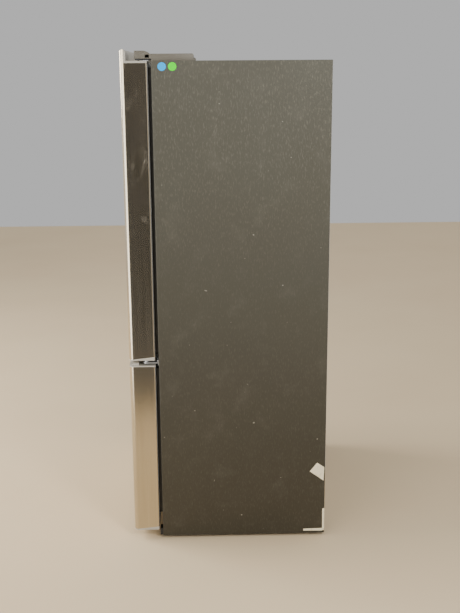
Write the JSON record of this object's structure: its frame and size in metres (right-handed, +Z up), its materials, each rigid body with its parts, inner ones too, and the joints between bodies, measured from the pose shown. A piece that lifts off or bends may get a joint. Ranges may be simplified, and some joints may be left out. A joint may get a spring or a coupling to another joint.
{
  "type": "french door refrigerator",
  "caption": "Free-standing refrigerator with twin hinged upper doors in brushed steel over a sliding freezer drawer, taupe cabinet sides, raised door-top lips and recessed pocket grips.",
  "frame": {"origin": "floor level, centred in the object's width and depth", "axes": "+Z up, the doors' fronts face -Y, +X is to the right of someone who stands in front of the doors"},
  "size_m": [0.908, 0.716, 1.785],
  "materials": {
    "case_paint": "textured taupe-grey enamel",
    "back_steel": "plain galvanised sheet",
    "insulation": null,
    "liner_plastic": "white glossy vacuum-formed liner",
    "door_steel": "brushed stainless steel",
    "cap_plastic": "grey matt plastic end cap",
    "trim_metal": "light grey painted steel",
    "black_steel": "black painted steel",
    "zinc_steel": "zinc-plated steel",
    "black_plastic": "black matt plastic",
    "cover_plastic": "dark grey matt plastic",
    "clear_plastic": "clear plastic with a faint blue cast",
    "white_plastic": "white moulded plastic",
    "shelf_glass": "clear tempered glass",
    "seal_rubber": "dark grey soft magnetic seal",
    "roller_nylon": "black nylon",
    "lamp_lens": "opal lamp lens"
  },
  "bodies": {
    "cabinet": {"case_shell": "case_paint", "back_panel": "back_steel", "cabinet_foam": "insulation", "fridge_liner": "liner_plastic", "freezer_liner": "liner_plastic", "centre_rail": "trim_metal", "base_frame": "black_steel", "levelling_legs": "black_plastic", "toe_grille": "black_plastic", "compressor": "black_steel", "condenser_coil": "black_steel", "fan_bracket": "black_plastic", "drain_pan": "white_plastic", "machine_cover": "back_steel", "cord_gland": "black_plastic", "top_hinges": "black_steel", "hinge_covers": "cover_plastic", "mid_hinges": "zinc_steel", "hinge_screws": "zinc_steel", "shelf_glass": "shelf_glass", "shelf_trims": "white_plastic", "crisper_cover": "white_plastic", "air_duct": "white_plastic", "ceiling_lamp": "lamp_lens", "evaporator": "zinc_steel", "evaporator_cover": "white_plastic", "drawer_rails_outer": "zinc_steel"},
    "left_door": {"left_door_skin": "door_steel", "left_door_foam": "insulation", "left_door_liner": "liner_plastic", "left_door_top_cap": "cap_plastic", "left_door_bottom_cap": "cap_plastic", "left_door_gasket": "seal_rubber", "left_door_bins": "clear_plastic", "mullion_brackets": "white_plastic"},
    "right_door": {"right_door_skin": "door_steel", "right_door_foam": "insulation", "right_door_liner": "liner_plastic", "right_door_top_cap": "cap_plastic", "right_door_bottom_cap": "cap_plastic", "right_door_gasket": "seal_rubber", "right_door_bins": "clear_plastic", "dairy_box": "clear_plastic"},
    "freezer_drawer": {"drawer_skin": "door_steel", "drawer_foam": "insulation", "drawer_liner": "liner_plastic", "drawer_top_cap": "cap_plastic", "drawer_bottom_cap": "cap_plastic", "drawer_gasket": "seal_rubber", "drawer_rails_inner": "zinc_steel", "lower_basket": "white_plastic"},
    "upper_tray": {"upper_tray": "white_plastic"},
    "left_crisper": {"left_crisper": "clear_plastic"},
    "right_crisper": {"right_crisper": "clear_plastic"},
    "mullion_flap": {"mullion_flap": "white_plastic"},
    "dairy_lid": {"dairy_lid": "clear_plastic"},
    "condenser_fan": {"condenser_fan": "black_plastic"},
    "evaporator_fan": {"evaporator_fan": "white_plastic"},
    "roller_left": {"roller_left": "roller_nylon"},
    "roller_right": {"roller_right": "roller_nylon"}
  },
  "joints": [
    {"name": "left_door_hinge", "type": "hinge", "parent": "cabinet", "child": "left_door", "pos_m": [-0.43, -0.296, 1.2], "axis": [0, 0, -1], "range_deg": [0, 120]},
    {"name": "right_door_hinge", "type": "hinge", "parent": "cabinet", "child": "right_door", "pos_m": [0.43, -0.296, 1.2], "axis": [0, 0, 1], "range_deg": [0, 120]},
    {"name": "freezer_drawer_slide", "type": "slide", "parent": "cabinet", "child": "freezer_drawer", "axis": [0, -1, 0], "range_m": [0, 0.42]},
    {"name": "upper_tray_slide", "type": "slide", "parent": "cabinet", "child": "upper_tray", "axis": [0, -1, 0], "range_m": [0, 0.231]},
    {"name": "left_crisper_slide", "type": "slide", "parent": "cabinet", "child": "left_crisper", "axis": [0, -1, 0], "range_m": [0, 0.199]},
    {"name": "right_crisper_slide", "type": "slide", "parent": "cabinet", "child": "right_crisper", "axis": [0, -1, 0], "range_m": [0, 0.199]},
    {"name": "mullion_flap_hinge", "type": "hinge", "parent": "left_door", "child": "mullion_flap", "pos_m": [-0.036, -0.2437, 1.2], "axis": [0, 0, 1], "range_deg": [-90, 0]},
    {"name": "dairy_lid_hinge", "type": "hinge", "parent": "right_door", "child": "dairy_lid", "pos_m": [0.21, -0.255, 1.578], "axis": [1, 0, 0], "range_deg": [0, 75]},
    {"name": "condenser_fan_spin", "type": "hinge", "parent": "cabinet", "child": "condenser_fan", "pos_m": [-0.01, 0.23, 0.12], "axis": [0, 1, 0], "continuous": true},
    {"name": "evaporator_fan_spin", "type": "hinge", "parent": "cabinet", "child": "evaporator_fan", "pos_m": [0, 0.268, 0.58], "axis": [0, 1, 0], "continuous": true},
    {"name": "roller_left_spin", "type": "hinge", "parent": "cabinet", "child": "roller_left", "pos_m": [-0.406, 0.3, 0.02], "axis": [1, 0, 0], "continuous": true},
    {"name": "roller_right_spin", "type": "hinge", "parent": "cabinet", "child": "roller_right", "pos_m": [0.406, 0.3, 0.02], "axis": [1, 0, 0], "continuous": true}
  ],
  "couplings": [
    {"joint": "left_crisper_slide", "follows": "left_door_hinge", "m_per_rad": 0.095},
    {"joint": "right_crisper_slide", "follows": "right_door_hinge", "m_per_rad": 0.095},
    {"joint": "upper_tray_slide", "follows": "freezer_drawer_slide", "ratio": 0.55}
  ]
}
